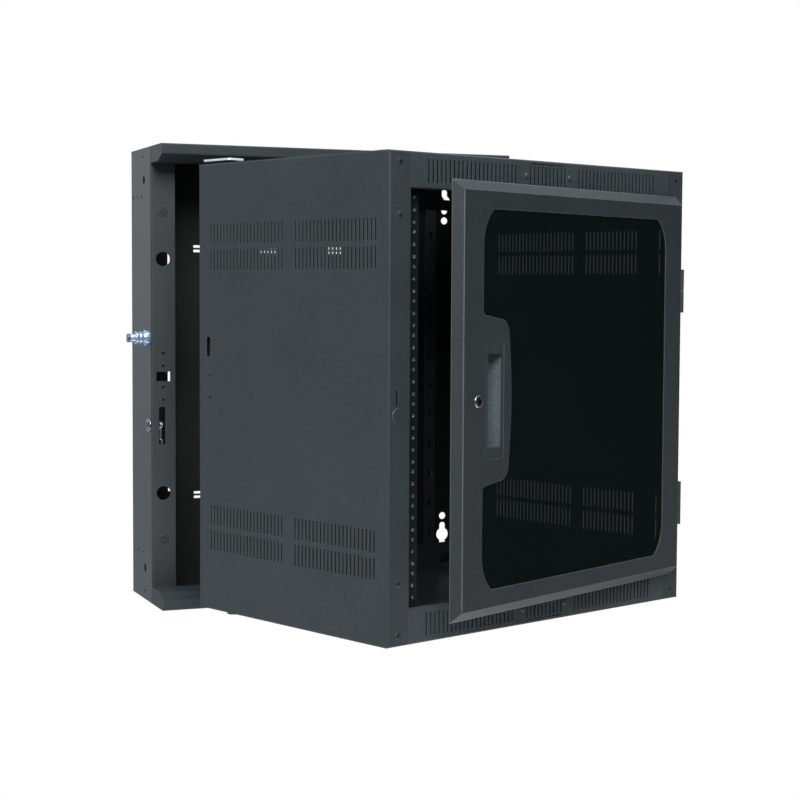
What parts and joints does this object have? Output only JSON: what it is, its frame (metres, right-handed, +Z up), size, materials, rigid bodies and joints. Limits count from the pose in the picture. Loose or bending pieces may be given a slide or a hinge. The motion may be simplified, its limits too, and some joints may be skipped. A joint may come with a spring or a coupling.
{
  "type": "hinged wall mount rack",
  "caption": "Swing-out wall rack for 19-inch equipment: a fixed back pan, a vented cabinet hinged to it with rack rails inside, and a bevelled front door with a smoked window.",
  "frame": {"origin": "centre of the four wall holes, on the wall plane at the back of the pan", "axes": "+Z up, front towards -Y, +X to the viewer's right facing the front"},
  "size_m": [0.7441, 0.7733, 0.706],
  "materials": {
    "powder_coat": "fine textured black powder coat",
    "bright_plate": "bright plated",
    "zinc_steel": "zinc plated",
    "black_nylon": "matte moulded nylon",
    "smoked_window": "smoked acrylic"
  },
  "bodies": {
    "back_pan": {"pan_tray": "powder_coat", "pan_top_header": "powder_coat", "pan_bottom_header": "powder_coat", "lacing_bar": "powder_coat", "lacing_bar_screws": "zinc_steel", "lower_pivot_pin": "zinc_steel", "pan_nuts": "zinc_steel", "pan_lock_body": "bright_plate", "latch_sleeve": "bright_plate", "latch_spring": "zinc_steel"},
    "pan_lock": {"pan_lock_plug": "bright_plate", "pan_lock_hook": "zinc_steel", "pan_lock_screw": "zinc_steel"},
    "plunger": {"latch_plunger": "bright_plate"},
    "cabinet": {"left_side_panel": "powder_coat", "right_side_panel": "powder_coat", "top_panel": "powder_coat", "bottom_panel": "powder_coat", "left_rack_rail": "powder_coat", "right_rack_rail": "powder_coat", "rail_feet": "powder_coat", "column_screws": "powder_coat", "strip_screws": "bright_plate", "pivot_plates": "zinc_steel", "pivot_spacers": "black_nylon", "lower_pivot_plate": "zinc_steel", "upper_pivot_pin": "zinc_steel", "glides": "black_nylon", "latch_keeper": "powder_coat", "frame_hinges": "powder_coat", "hinge_pins": "zinc_steel"},
    "door": {"door_frame": "powder_coat", "door_window": "smoked_window", "window_clips": "powder_coat", "pull_cup": "powder_coat", "door_hinges": "powder_coat", "door_lock_body": "bright_plate", "door_lock_nut": "bright_plate"},
    "door_lock": {"door_lock_plug": "bright_plate", "door_lock_cam": "zinc_steel", "door_lock_screw": "zinc_steel"}
  },
  "joints": [
    {"name": "cabinet_swing", "type": "hinge", "parent": "back_pan", "child": "cabinet", "pos_m": [0.275, -0.165, 0], "axis": [0, 0, 1], "range_deg": [-20.5, 84.5]},
    {"name": "door_swing", "type": "hinge", "parent": "cabinet", "child": "door", "pos_m": [0.41346, -0.52106, 0], "axis": [0, 0, 1], "range_deg": [-7.7, 150]},
    {"name": "pan_lock_turn", "type": "hinge", "parent": "back_pan", "child": "pan_lock", "pos_m": [-0.287, -0.114, -0.076], "axis": [-1, 0, 0], "range_deg": [0, 90]},
    {"name": "plunger_push", "type": "slide", "parent": "back_pan", "child": "plunger", "axis": [1, 0, 0], "range_m": [0, 0.01], "stiffness_N_per_m": 400},
    {"name": "door_lock_turn", "type": "hinge", "parent": "door", "child": "door_lock", "pos_m": [-0.02169, -0.75892, -0.0055], "axis": [-0.4726, 0.8813, 0], "range_deg": [0, 90]}
  ]
}
